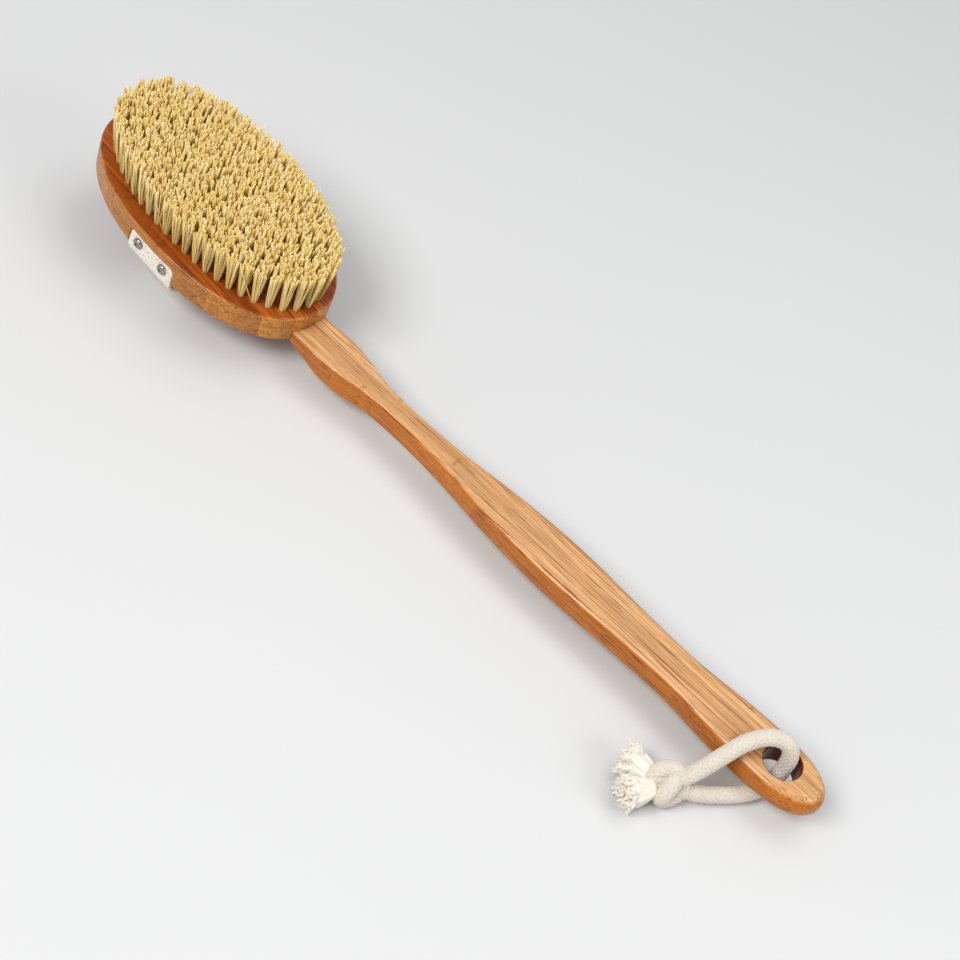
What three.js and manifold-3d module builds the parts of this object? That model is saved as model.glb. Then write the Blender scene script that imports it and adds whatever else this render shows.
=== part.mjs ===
// Long-handled body dry brush, in millimetres, +Z up, bristles upwards.
// The handle runs along +X. The brush lies on the slack of its hand strap and on its hanging
// loop, so the handle's straight underside is level, a little above the surface.
import * as THREE from "three";
import { mergeVertices } from "three/addons/utils/BufferGeometryUtils.js";
import Module from "manifold-3d";

const wasm = await Module();
wasm.setup();

// Head block: an oval whose local frame has x = 0 at its handle end and z = 0 on its back.
const HEAD_LENGTH = 134;
const HEAD_WIDTH = 77;
const HEAD_THICKNESS = 14;
const HEAD_ROUNDNESS = 2.15;
const HEAD_EDGE = 1.4;
const HEAD_TILT = THREE.MathUtils.degToRad(7);
const HEAD_END_X = 134;
const HEAD_BACK_ABOVE_HANDLE = 6.3;

// Bristle field: round tufts in blind holes, fanning out to one trimmed plane. The tufts stand
// in rings parallel to the head's outline, the innermost round a straight row in the middle.
const FIELD_LENGTH = 123;
const FIELD_WIDTH = 59.6;
const RING_COUNT = 5;
const RING_PITCH = 5.95;
const RING_CORNERS = 96;
const TUFT_PITCH = 6.3;
const ROW_HALF_LENGTH = 18.6;
const TUFT_SIDES = 6;
const HOLE_RADIUS = 1.95;
const HOLE_DEPTH = 6.6;
const TUFT_ROOT_RADIUS = 0.9;
const TUFT_TIP_RADIUS = 3.85;
const TUFT_TIP_FLATTEN = 0.84;
const TRIM_HEIGHT = 20;
const FAN_X = 1;
const FAN_Y = 1.08;

// Handle: a flat bar with its own plan outline; x is measured from the head's far end.
const HANDLE_LIFT = 8.2;
const HANDLE_THICKNESS = 11.8;
const HANDLE_END_X = 430;
const HANDLE_EDGE = 3;
const HANDLE_EDGE_STEPS = 3;
const UNDERSIDE_START_X = 168;
const HOLE_X = 408.8;
const HANG_HOLE_RADIUS = 8;
// Half widths of the plan outline: socket end, shoulder, neck, palm swell, waist and end swell.
const HANDLE_STATIONS = [
  [120, 9.4],
  [136, 9.7],
  [152, 10.3],
  [164, 8.6],
  [180, 6.2],
  [202, 5.7],
  [226, 7],
  [252, 9.9],
  [276, 11.7],
  [300, 11.9],
  [330, 10.5],
  [356, 10],
  [378, 11.9],
  [398, 13.2],
  [412, 12.9],
  [421, 10.6],
  [427.4, 6.2],
];

// Dovetail joint between the handle's tongue and the groove in the back of the head.
const TONGUE_LENGTH = 46;
const TONGUE_HEIGHT = 5.5;
const TONGUE_TOP_WIDTH = 18.8;
const TONGUE_BACK_WIDTH = 15;
const GAP = 0.3;

// Hand strap: one flat band, screwed to the head's two side walls.
const STRAP_WIDTH = 29;
const STRAP_THICKNESS = 1.8;
const STRAP_CENTRE_X = -65;
const STRAP_END_Z = 9.2;
const STRAP_SEAT_Y = 36.1;
const STRAP_CORNER = 3;
const STRAP_STEPS = 32;
const SCREW_SPACING = 16.5;
const SCREW_Z = 4.8;
const SCREW_HEAD_RADIUS = 2.5;
const SCREW_SHANK_RADIUS = 1.2;
const SCREW_SHANK_LENGTH = 9;

// Hanging loop: one cord from the knot, over the handle, through the hole and back to the knot.
const CORD_RADIUS = 3.5;
const CORD_SIDES = 8;
const CORD_STEPS = 28;
const CORD_ROUTE = [
  [386.8, -33, 10.8],
  [390, -26.1, 16.2],
  [392.5, -19.3, 21.9],
  [395, -11.6, 26.3],
  [398.6, -4.6, 28.5],
  [402.9, 0.2, 28.5],
  [407, 2.8, 26],
  [409.4, 3.3, 20.8],
  [409.9, 2.1, 14.6],
  [409.7, -1.1, 9],
  [408.2, -6, 5],
  [404.6, -13, 3.7],
  [399, -21.2, 3.8],
  [393.6, -27.8, 4.4],
  [388.4, -32.6, 5.8],
];
const KNOT_CENTRE = [384, -36.5, 7.8];
const KNOT_SIZE = [8.4, 8.8, 8];
const TASSEL_LENGTH = 21;
const TASSEL_ROOT_RADIUS = 2.4;
const TASSEL_TIP_RADIUS = 6.8;
const TASSEL_TURNS = [-158, -116];

// Materials
function material(color, roughness, metalness = 0) {
  return new THREE.MeshStandardMaterial({ color, roughness, metalness });
}

const bamboo = () => material(0xc98a4b, 0.42);
const fibre = () => material(0xe9d69a, 0.85);
const cotton = () => material(0xece6da, 0.95);
const nickel = () => material(0xb9b7b2, 0.3, 1);

// Solids
function solid(geometry) {
  const bare = geometry.clone();
  bare.deleteAttribute("normal");
  bare.deleteAttribute("uv");
  const merged = mergeVertices(bare, 1e-4);
  return new wasm.Manifold(new wasm.Mesh({
    numProp: 3,
    vertProperties: new Float32Array(merged.attributes.position.array),
    triVerts: new Uint32Array(merged.index.array),
  }));
}

function geometryOf(manifold) {
  const data = manifold.getMesh();
  const geometry = new THREE.BufferGeometry();
  geometry.setAttribute("position", new THREE.BufferAttribute(data.vertProperties.slice(), 3));
  geometry.setIndex(new THREE.BufferAttribute(data.triVerts.slice(), 1));
  geometry.computeVertexNormals();
  return geometry;
}

function named(name, geometry, finish) {
  const mesh = new THREE.Mesh(geometry, finish);
  mesh.name = name;
  return mesh;
}

// An extrusion of a shape, drawn in the XY plane, from z = bottom to z = top.
function slab(shape, bottom, top, edge = 0, edgeSteps = 2) {
  const geometry = new THREE.ExtrudeGeometry(shape, {
    depth: top - bottom - 2 * edge,
    bevelEnabled: edge > 0,
    bevelThickness: edge,
    bevelSize: edge,
    bevelOffset: -edge,
    bevelSegments: edgeSteps,
    curveSegments: 8,
  });
  geometry.translate(0, 0, bottom + edge);
  return geometry;
}

// Head
function rounded(value) {
  return Math.sign(value) * Math.abs(value) ** (2 / HEAD_ROUNDNESS);
}

function ovalPoints(halfLength, halfWidth) {
  const points = [];
  const corners = 64;
  for (let i = 0; i < corners; i += 1) {
    const angle = (2 * Math.PI * i) / corners;
    const x = rounded(Math.cos(angle)) * halfLength;
    const y = rounded(Math.sin(angle)) * halfWidth;
    points.push(new THREE.Vector3(x, y, 0));
  }
  return points;
}

function headOutline(grow = 0) {
  const oval = ovalPoints(HEAD_LENGTH / 2 + grow, HEAD_WIDTH / 2 + grow);
  return new THREE.Shape(oval.map(({ x, y }) => new THREE.Vector2(x - HEAD_LENGTH / 2, y)));
}

// The path of one ring, which has points at its ends where the outline's curve no longer fits.
function ringPath(ring) {
  const edge = new THREE.CatmullRomCurve3(ovalPoints(FIELD_LENGTH / 2, FIELD_WIDTH / 2), true);
  const rim = edge.getSpacedPoints(RING_CORNERS).slice(0, RING_CORNERS);
  const inset = rim.map((point, i) => {
    const tangent = edge.getTangentAt(i / RING_CORNERS);
    const inward = new THREE.Vector3(-tangent.y, tangent.x, 0);
    return point.clone().addScaledVector(inward, ring * RING_PITCH);
  });
  const reach = ring * RING_PITCH - 0.02;
  const kept = inset.filter((point) => rim.every((other) => point.distanceTo(other) > reach));
  const end = kept[0].clone().add(kept.at(-1)).multiplyScalar(0.5);
  const corners = Math.abs(kept[0].y) > 0.01 ? [end, ...kept] : kept;
  return new THREE.CatmullRomCurve3(corners, true);
}

// One ring's tufts, as base centre and direction along the ring, in the field's frame.
function ringPlaces(ring) {
  const path = ringPath(ring);
  const count = 2 * Math.ceil(path.getLength() / TUFT_PITCH / 2);
  return Array.from({ length: count }, (_, i) => {
    const { x, y } = path.getPointAt(i / count);
    const tangent = path.getTangentAt(i / count);
    return { x, y, turn: Math.atan2(tangent.y, tangent.x) };
  });
}

function middleRowPlaces() {
  const gaps = Math.round((2 * ROW_HALF_LENGTH) / TUFT_PITCH);
  return Array.from({ length: gaps + 1 }, (_, i) => {
    const x = ((2 * i) / gaps - 1) * ROW_HALF_LENGTH;
    return { x, y: 0, turn: 0 };
  });
}

// One node's tufts: a ring's, and the middle row's with the innermost ring's.
function nodePlaces(ring) {
  return ring < RING_COUNT - 1 ? ringPlaces(ring) : [...ringPlaces(ring), ...middleRowPlaces()];
}

// A prism or frustum between two rings given as [x, y, z, radius along turn, radius across it].
function frustum(lower, upper, sides, turn = 0) {
  const geometry = new THREE.CylinderGeometry(1, 1, 1, sides, 1);
  geometry.rotateX(Math.PI / 2);
  geometry.rotateZ(Math.PI / 2);
  const points = geometry.attributes.position;
  for (let i = 0; i < points.count; i += 1) {
    const ring = points.getZ(i) > 0 ? upper : lower;
    const along = points.getX(i) * ring[3];
    const across = points.getY(i) * ring[4];
    const x = ring[0] + along * Math.cos(turn) - across * Math.sin(turn);
    const y = ring[1] + along * Math.sin(turn) + across * Math.cos(turn);
    points.setXYZ(i, x, y, ring[2]);
  }
  return geometry;
}

function tuft({ x, y, turn }) {
  const root = [x, y, HEAD_THICKNESS - HOLE_DEPTH + GAP, TUFT_ROOT_RADIUS, TUFT_ROOT_RADIUS];
  const wide = TUFT_TIP_RADIUS;
  const tip = [x * FAN_X, y * FAN_Y, HEAD_THICKNESS + TRIM_HEIGHT, wide, wide * TUFT_TIP_FLATTEN];
  return solid(frustum(root, tip, TUFT_SIDES, turn));
}

function tuftHole({ x, y }) {
  const lean = HOLE_DEPTH / (HOLE_DEPTH + TRIM_HEIGHT);
  const rim = [x * (1 + (FAN_X - 1) * lean), y * (1 + (FAN_Y - 1) * lean)];
  const floor = [x, y, HEAD_THICKNESS - HOLE_DEPTH, HOLE_RADIUS, HOLE_RADIUS];
  const mouth = [rim[0], rim[1], HEAD_THICKNESS + 1, HOLE_RADIUS, HOLE_RADIUS];
  return solid(frustum(floor, mouth, TUFT_SIDES));
}

function inField(manifold) {
  return manifold.translate([-HEAD_LENGTH / 2, 0, 0]);
}

// The dovetail section, widest at its top, run along the head's x axis.
function dovetail(grow, fromX, toX, belowBack) {
  const top = TONGUE_HEIGHT + grow;
  const halfTop = TONGUE_TOP_WIDTH / 2 + grow;
  const flare = (TONGUE_TOP_WIDTH - TONGUE_BACK_WIDTH) / 2 / TONGUE_HEIGHT;
  const halfBottom = halfTop - flare * (top + belowBack);
  const section = new THREE.Shape();
  section.moveTo(-halfBottom, -belowBack);
  section.lineTo(halfBottom, -belowBack);
  section.lineTo(halfTop, top);
  section.lineTo(-halfTop, top);
  const geometry = slab(section, fromX, toX);
  geometry.rotateX(Math.PI / 2);
  geometry.rotateZ(Math.PI / 2);
  return solid(geometry);
}

// The strap's plain width with rounded top corners, run across the head from y = from to y = to.
function strapWindow(grow, bottom, from, to) {
  const half = STRAP_WIDTH / 2 + grow;
  const top = STRAP_END_Z + grow;
  const window = new THREE.Shape();
  window.moveTo(-half, bottom);
  window.lineTo(half, bottom);
  window.lineTo(half, top - STRAP_CORNER);
  window.quadraticCurveTo(half, top, half - STRAP_CORNER, top);
  window.lineTo(STRAP_CORNER - half, top);
  window.quadraticCurveTo(-half, top, -half, top - STRAP_CORNER);
  const geometry = slab(window, -to, -from);
  geometry.rotateX(Math.PI / 2);
  geometry.translate(STRAP_CENTRE_X, 0, 0);
  return solid(geometry);
}

function strapRecess(side) {
  const seat = STRAP_SEAT_Y - GAP;
  const outside = HEAD_WIDTH / 2 + 2;
  const [from, to] = side > 0 ? [seat, outside] : [-outside, -seat];
  return strapWindow(GAP, -2, from, to);
}

function screwPlaces() {
  const places = [];
  for (const side of [-1, 1]) {
    for (const end of [-1, 1]) {
      places.push({ side, x: STRAP_CENTRE_X + (end * SCREW_SPACING) / 2 });
    }
  }
  return places;
}

function screwHole({ side, x }, radius, fromY, toY) {
  const geometry = new THREE.CylinderGeometry(radius, radius, toY - fromY, 10);
  geometry.translate(x, (side * (fromY + toY)) / 2, SCREW_Z);
  return solid(geometry);
}

function headBlock() {
  let block = solid(slab(headOutline(), 0, HEAD_THICKNESS, HEAD_EDGE));
  const holes = [];
  for (let ring = 0; ring < RING_COUNT; ring += 1) holes.push(...nodePlaces(ring).map(tuftHole));
  block = block.subtract(inField(wasm.Manifold.union(holes)));
  block = block.subtract(dovetail(GAP, -TONGUE_LENGTH - GAP, 5, 3));
  for (const side of [-1, 1]) block = block.subtract(strapRecess(side));
  for (const place of screwPlaces()) {
    const depth = STRAP_SEAT_Y - SCREW_SHANK_LENGTH - GAP;
    block = block.subtract(screwHole(place, SCREW_SHANK_RADIUS + GAP, depth, STRAP_SEAT_Y + 1));
  }
  return named("head_block", geometryOf(block), bamboo());
}

function bristles(name, places) {
  const bundle = inField(wasm.Manifold.union(places.map(tuft)));
  return named(name, geometryOf(bundle), fibre());
}

// The strap's run across the head, as [y, z] of its inner face: up a side wall and slack below.
function strapRun() {
  const slack = -(HANDLE_LIFT + HEAD_BACK_ABOVE_HANDLE + 6.2 - STRAP_THICKNESS);
  const half = [
    [STRAP_SEAT_Y, STRAP_END_Z],
    [STRAP_SEAT_Y, 5],
    [STRAP_SEAT_Y, -0.8],
    [34.6, -3.4],
    [27.5, 0.47 * slack],
    [17.5, 0.84 * slack],
    [8.5, slack],
  ];
  const near = half.map(([y, z]) => new THREE.Vector3(-y, z, 0));
  const far = half.map(([y, z]) => new THREE.Vector3(y, z, 0)).reverse();
  return new THREE.CatmullRomCurve3([...near, ...far], false, "centripetal");
}

function handStrap() {
  const run = strapRun();
  const inner = run.getSpacedPoints(STRAP_STEPS);
  const outer = inner.map((point, i) => {
    const slope = run.getTangentAt(i / STRAP_STEPS);
    const y = point.x + slope.y * STRAP_THICKNESS;
    return new THREE.Vector3(y, point.y - slope.x * STRAP_THICKNESS, 0);
  });
  const section = new THREE.Shape();
  const rim = [...inner, ...outer.reverse()];
  section.setFromPoints(rim.map((point) => new THREE.Vector2(point.x, point.y)));
  const geometry = slab(section, -STRAP_WIDTH / 2, STRAP_WIDTH / 2);
  geometry.rotateX(Math.PI / 2);
  geometry.rotateZ(Math.PI / 2);
  geometry.translate(STRAP_CENTRE_X, 0, 0);
  let strap = solid(geometry).intersect(strapWindow(0, -60, -HEAD_WIDTH, HEAD_WIDTH));
  for (const place of screwPlaces()) {
    const [from, to] = [STRAP_SEAT_Y - 2, STRAP_SEAT_Y + 4];
    strap = strap.subtract(screwHole(place, SCREW_SHANK_RADIUS + GAP, from, to));
  }
  return named("hand_strap", geometryOf(strap), cotton());
}

// A domed screw with a small driver recess, its head's underside at y = 0 and its shank inwards.
function strapScrew({ side, x }, index) {
  const profile = [
    [0, -SCREW_SHANK_LENGTH],
    [0.5, -SCREW_SHANK_LENGTH + 0.4],
    [SCREW_SHANK_RADIUS, -SCREW_SHANK_LENGTH + 2.4],
    [SCREW_SHANK_RADIUS, 0],
    [SCREW_HEAD_RADIUS, 0],
    [SCREW_HEAD_RADIUS, 0.6],
    [1.7, 1.3],
    [0.8, 1.5],
    [0.6, 0.8],
    [0, 0.8],
  ].map(([radius, height]) => new THREE.Vector2(radius, height));
  const geometry = new THREE.LatheGeometry(profile, 10);
  const mesh = named(`strap_screw_${index + 1}`, geometryOf(solid(geometry)), nickel());
  mesh.rotation.x = side < 0 ? Math.PI : 0;
  mesh.position.set(x, side * (STRAP_SEAT_Y + STRAP_THICKNESS + GAP), SCREW_Z);
  return mesh;
}

// Handle
function handleOutline() {
  const near = HANDLE_STATIONS.map(([x, half]) => new THREE.Vector2(x, -half));
  const tip = new THREE.Vector2(HANDLE_END_X, 0);
  const far = HANDLE_STATIONS.map(([x, half]) => new THREE.Vector2(x, half)).reverse();
  const edge = new THREE.SplineCurve([...near, tip, ...far]);
  return new THREE.Shape(edge.getPoints(76));
}

// The side view: level top and underside, and an underside that rises to the head's back.
function handleProfile() {
  const profile = new THREE.Shape();
  profile.moveTo(110, HANDLE_THICKNESS + 1);
  profile.lineTo(110, HEAD_BACK_ABOVE_HANDLE);
  profile.lineTo(HEAD_END_X - 4, HEAD_BACK_ABOVE_HANDLE);
  profile.bezierCurveTo(HEAD_END_X + 10, 4.4, UNDERSIDE_START_X - 14, 0, UNDERSIDE_START_X, 0);
  profile.lineTo(HANDLE_END_X + 5, 0);
  profile.lineTo(HANDLE_END_X + 5, HANDLE_THICKNESS + 1);
  const geometry = slab(profile, -20, 20);
  geometry.rotateX(Math.PI / 2);
  return geometry;
}

// Moves a solid from the head's frame to the handle's, whose z = 0 is the handle's underside.
function fromHeadToHandle(manifold) {
  const degrees = THREE.MathUtils.radToDeg(HEAD_TILT);
  return manifold.rotate([0, degrees, 0]).translate([HEAD_END_X, 0, HEAD_BACK_ABOVE_HANDLE]);
}

function handle() {
  const bar = solid(slab(handleOutline(), 0, HANDLE_THICKNESS, HANDLE_EDGE, HANDLE_EDGE_STEPS));
  const headClearance = fromHeadToHandle(solid(slab(headOutline(GAP), -30, 40)));
  const tongue = fromHeadToHandle(dovetail(0, -TONGUE_LENGTH, 1.5, 0));
  const hangHole = new THREE.CylinderGeometry(HANG_HOLE_RADIUS, HANG_HOLE_RADIUS, 40, 28);
  hangHole.rotateX(Math.PI / 2);
  hangHole.translate(HOLE_X, 0, 0);
  const shaped = bar.intersect(solid(handleProfile())).subtract(headClearance);
  const whole = shaped.add(tongue).subtract(solid(hangHole));
  return named("handle", geometryOf(whole), bamboo());
}

// Hanging loop
function knotShape(grow) {
  const geometry = new THREE.SphereGeometry(1, 14, 9);
  geometry.scale(...KNOT_SIZE.map((size) => size + grow));
  geometry.translate(...KNOT_CENTRE);
  return solid(geometry);
}

function loopCord() {
  const route = CORD_ROUTE.map((point) => new THREE.Vector3(...point));
  const path = new THREE.CatmullRomCurve3(route, false, "centripetal");
  const section = new THREE.Shape();
  for (let i = 0; i < CORD_SIDES; i += 1) {
    const angle = (2 * Math.PI * i) / CORD_SIDES;
    const x = CORD_RADIUS * Math.cos(angle);
    const y = CORD_RADIUS * Math.sin(angle);
    if (i === 0) section.moveTo(x, y);
    else section.lineTo(x, y);
  }
  const tube = new THREE.ExtrudeGeometry(section, { steps: CORD_STEPS, extrudePath: path });
  return named("loop_cord", geometryOf(solid(tube).subtract(knotShape(GAP))), cotton());
}

function loopKnot() {
  return named("loop_knot", geometryOf(knotShape(0)), cotton());
}

// A frayed cord end: a flaring tuft of loose yarn that leaves the knot level.
function cordTassel(turn, index) {
  const profile = [
    [0, 0],
    [TASSEL_ROOT_RADIUS, 0],
    [TASSEL_ROOT_RADIUS, 0.24 * TASSEL_LENGTH],
    [TASSEL_TIP_RADIUS, 0.85 * TASSEL_LENGTH],
    [0.8 * TASSEL_TIP_RADIUS, TASSEL_LENGTH],
    [0, TASSEL_LENGTH],
  ].map(([radius, height]) => new THREE.Vector2(radius, height));
  const geometry = new THREE.LatheGeometry(profile, 12);
  geometry.rotateZ(-Math.PI / 2);
  geometry.scale(1, 0.92, 0.92);
  geometry.translate(4, 0, 0);
  geometry.rotateZ(THREE.MathUtils.degToRad(turn));
  geometry.translate(KNOT_CENTRE[0], KNOT_CENTRE[1], KNOT_CENTRE[2] - 1.8);
  const tassel = solid(geometry).subtract(knotShape(GAP));
  return named(`cord_tassel_${index + 1}`, geometryOf(tassel), cotton());
}

function headAssembly() {
  const head = new THREE.Group();
  head.add(headBlock());
  for (let ring = 0; ring < RING_COUNT; ring += 1) {
    head.add(bristles(`bristle_ring_${ring + 1}`, nodePlaces(ring)));
  }
  head.add(handStrap());
  screwPlaces().forEach((place, index) => head.add(strapScrew(place, index)));
  head.rotation.y = HEAD_TILT;
  head.position.set(HEAD_END_X, 0, HANDLE_LIFT + HEAD_BACK_ABOVE_HANDLE);
  return head;
}

function hangingLoop() {
  const loop = new THREE.Group();
  loop.add(loopCord());
  loop.add(loopKnot());
  TASSEL_TURNS.forEach((turn, index) => loop.add(cordTassel(turn, index)));
  return loop;
}

// The origin is on the surface the brush lies on, under the middle of its box.
const head = headAssembly();
const bar = handle();
bar.position.z = HANDLE_LIFT;
const brush = new THREE.Group();
brush.add(head, bar);
brush.updateMatrixWorld(true);
const box = new THREE.Box3().setFromObject(brush, true);
brush.add(hangingLoop());
brush.position.set(-(box.min.x + box.max.x) / 2, 0, -box.min.z);

const group = new THREE.Group();
group.add(brush);

export default group;
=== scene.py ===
import math

import bmesh
import bpy
import numpy as np
from mathutils import Matrix, Vector


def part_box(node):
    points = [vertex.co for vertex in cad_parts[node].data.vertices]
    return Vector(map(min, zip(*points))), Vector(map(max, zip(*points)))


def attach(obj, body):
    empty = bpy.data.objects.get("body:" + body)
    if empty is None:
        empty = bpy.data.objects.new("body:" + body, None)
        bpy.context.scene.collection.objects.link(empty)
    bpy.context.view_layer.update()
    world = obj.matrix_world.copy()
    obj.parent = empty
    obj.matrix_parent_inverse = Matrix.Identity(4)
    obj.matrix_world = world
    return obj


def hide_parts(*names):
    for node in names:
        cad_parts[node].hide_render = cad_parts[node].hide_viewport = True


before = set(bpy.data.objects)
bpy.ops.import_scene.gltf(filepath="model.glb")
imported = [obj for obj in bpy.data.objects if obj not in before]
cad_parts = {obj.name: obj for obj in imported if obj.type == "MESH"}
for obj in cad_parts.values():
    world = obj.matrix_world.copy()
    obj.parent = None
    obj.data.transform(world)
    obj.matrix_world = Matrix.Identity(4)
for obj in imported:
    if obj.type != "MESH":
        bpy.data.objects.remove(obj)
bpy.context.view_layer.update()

rng = np.random.default_rng(11)
scene = bpy.context.scene
MM = 0.001

# Sizes are in millimetres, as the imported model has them, and x is measured from the head's far
# end. First come the handle, the head and the dovetail between them.
HANDLE_LIFT = 8.2
HANDLE_THICKNESS = 11.8
HANDLE_END_X = 430.0
HEAD_END_X = 134.0
HEAD_BACK = 6.3
HEAD_TILT = math.radians(7)
HEAD_LENGTH = 134.0
HEAD_WIDTH = 77.0
HEAD_THICKNESS = 14.0
HEAD_POWER = 2.15
HEAD_FILLET = 1.5
HALF_LENGTH = HEAD_LENGTH / 2
GAP = 0.3
TONGUE_LENGTH = 46.0
TONGUE_HEIGHT = 5.5
TONGUE_TOP_WIDTH = 18.8
TONGUE_FOOT_WIDTH = 15.0

# How finely outlines, rounded edges and tubes are cut.
OUTLINE_CORNERS = 256
EDGE_STEPS = 7
BORE_SIDES = 72
SMALL_HOLE_SIDES = 20
SCREW_SIDES = 48
CORD_SIDES = 80
KNOT_SIDES = 64
YARN_SIDES = 8
FIBRE_SIDES = 4

# The bristles: their field, the rings and the middle row of tufts, and each tuft's fibres.
FIELD_LENGTH = 123.0
FIELD_WIDTH = 59.6
RING_COUNT = 5
RING_PITCH = 5.95
TUFT_PITCH = 6.3
ROW_HALF_LENGTH = 18.6
FAN = np.array([1.0, 1.08])
TRIM = 20.0
TUFT_FIBRES = 84
TUFT_LOCKS = 15
TUFT_ROOT_RADIUS = 1.05
TUFT_TIP_RADIUS = 3.3
FIBRE_STEPS = 6
STRAY_SHARE = 0.012
HOLE_DEPTH = 6.6
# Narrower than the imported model's holes, so that each tuft fills its own.
HOLE_RADIUS = 1.4

# The hand strap and its screws, in the head's frame.
STRAP_WIDTH = 29.0
STRAP_THICKNESS = 1.8
STRAP_X = -65.0
STRAP_END_Z = 9.2
STRAP_SEAT_Y = 36.1
STRAP_CORNER = 3.0
# How much higher the head's back is at the strap's lower edge than at the handle.
STRAP_EDGE_RISE = 6.2
SCREW_SPACING = 16.5
SCREW_Z = 4.8

# The hanging hole and its cord.
HOLE_X = 408.8
HANG_RADIUS = 8.0
BORE_EASE = 0.9
CORD_RADIUS = 3.5
BRAID_STRANDS = 10
BRAID_PITCH = 2.5
BRAID_RELIEF = 0.5
CORD_ROUTE = [
    (386.8, -33, 10.8),
    (390, -26.1, 16.2),
    (392.5, -19.3, 21.9),
    (395, -11.6, 26.3),
    (398.6, -4.6, 28.5),
    (402.9, 0.2, 28.5),
    (407, 2.8, 26),
    (409.4, 3.3, 20.8),
    (409.9, 2.1, 14.6),
    (409.7, -1.1, 9),
    (408.2, -6, 5),
    (404.6, -13, 3.7),
    (399, -21.2, 3.8),
    (393.6, -27.8, 4.4),
    (388.4, -32.6, 5.8),
]
KNOT_CENTRE = np.array([384.0, -36.5, 7.8])
# The knot's lines, each with its radius, in the knot's own frame: along the cords, up in the
# camera's view, and towards the camera.
KNOT_LINES = [
    ([(7.5, 2.4, -0.4), (3.6, 4.7, 1.6), (-0.8, 5.6, 1.9), (-4.6, 3.9, 0.9), (-6.2, 0.6, -1.6),
      (-3.2, -2.8, -3.4)], 3.6),
    ([(2.8, 2.6, -1.4), (1.9, 1.2, 3.0), (-0.6, -2.6, 3.5), (-2.0, -5.4, 1.2), (0.6, -5.8, -2.0),
      (5.2, -3.0, -1.4)], 3.6),
    ([(-7.4, 1.2, -0.6), (-3.0, 1.5, 0.0), (2.5, 0.9, 0.2), (8.0, 0.6, -0.4)], 3.5),
    ([(-7.4, -2.2, -0.4), (-3.0, -2.2, -0.6), (2.5, -1.9, -0.6), (8.0, -2.0, -1.6)], 3.5),
]

# The handle's half width at each distance along it.
HANDLE_STATIONS = [
    (120, 9.4),
    (136, 9.7),
    (152, 10.3),
    (164, 8.6),
    (180, 6.2),
    (202, 5.7),
    (226, 7),
    (252, 9.9),
    (276, 11.7),
    (300, 11.9),
    (330, 10.5),
    (356, 10),
    (378, 11.9),
    (398, 13.2),
    (412, 12.9),
    (421, 10.6),
    (427.4, 6.2),
]

# The bamboo's glued strips, with the seed of their tones, and its growth joints. The seed is
# picked so that one of the head's strips comes out darkest: partly a darker strip the head has,
# partly painted shade in place of the tufts' shadow at the head's far left.
STRIP_WIDTH = 6.0
TONE_AND_SHADE_SEED = 398.6
JOINT_SPACING = 215.0
BORE_TINT = (0.30, 0.07, 0.03)
# Heights, in metres and square to the head, between which painted shade turns the fibres browner
# towards their roots.
FIBRE_MIDDLE_Z = 0.042
FIBRE_ROOT_Z = 0.026

# The frayed ends: locks of yarn, and the points and loose hairs that each one splits into.
LOCK_COUNT = 78
POINTS_PER_LOCK = 4
HAIRS_PER_LOCK = 2
LOCK_STEPS = 12
POINT_STEPS = 8

# The floor is a disc, in metres.
FLOOR_RADIUS = 24.0
FLOOR_CORNERS = 96

handle_low, handle_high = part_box("handle")
ORIGIN = np.array([handle_high[0] / MM - HANDLE_END_X, 0.0, handle_low[2] / MM - HANDLE_LIFT])


def to_row(points):
    """Millimetres in the brush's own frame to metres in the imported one."""
    return (np.asarray(points, float) + ORIGIN) * MM


def from_head(points):
    """The head's frame (x = 0 at its handle end, z = 0 on its back) to the brush's."""
    x, y, z = np.asarray(points, float).T
    c, s = math.cos(HEAD_TILT), math.sin(HEAD_TILT)
    up = HANDLE_LIFT + HEAD_BACK
    return np.stack([HEAD_END_X + x * c + z * s, y, up - x * s + z * c], axis=1)


def add_camera():
    """The camera at the photograph's viewing angle."""
    data = bpy.data.cameras.new("camera")
    data.sensor_width = 36.0
    data.lens = 66.09
    data.clip_start, data.clip_end = 0.01, 50.0
    camera = bpy.data.objects.new("camera", data)
    scene.collection.objects.link(camera)
    right = Vector((0.692731, 0.680005, 0.240242))
    down = Vector((0.638426, -0.423256, -0.642858))
    ahead = Vector((-0.335463, 0.598705, -0.727336))
    turn = Matrix((right, -down, -ahead)).transposed()
    camera.matrix_world = Matrix.Translation((0.2704, -0.4379, 0.5536)) @ turn.to_4x4()
    scene.camera = camera


add_camera()


# Curves
def spline(points, count):
    """Points of the uniform Catmull-Rom curve through these, evenly spaced in parameter."""
    p = np.asarray(points, float)
    wide = np.vstack([p[0], p, p[-1]])
    t = np.linspace(0, len(p) - 1, count)
    i = np.minimum(t.astype(int), len(p) - 2)
    u = (t - i)[:, None]
    a, b, c, d = wide[i], wide[i + 1], wide[i + 2], wide[i + 3]
    cubic = (3 * b - a - 3 * c + d) * u**3
    return 0.5 * (2 * b + (c - a) * u + (2 * a - 5 * b + 4 * c - d) * u**2 + cubic)


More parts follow.
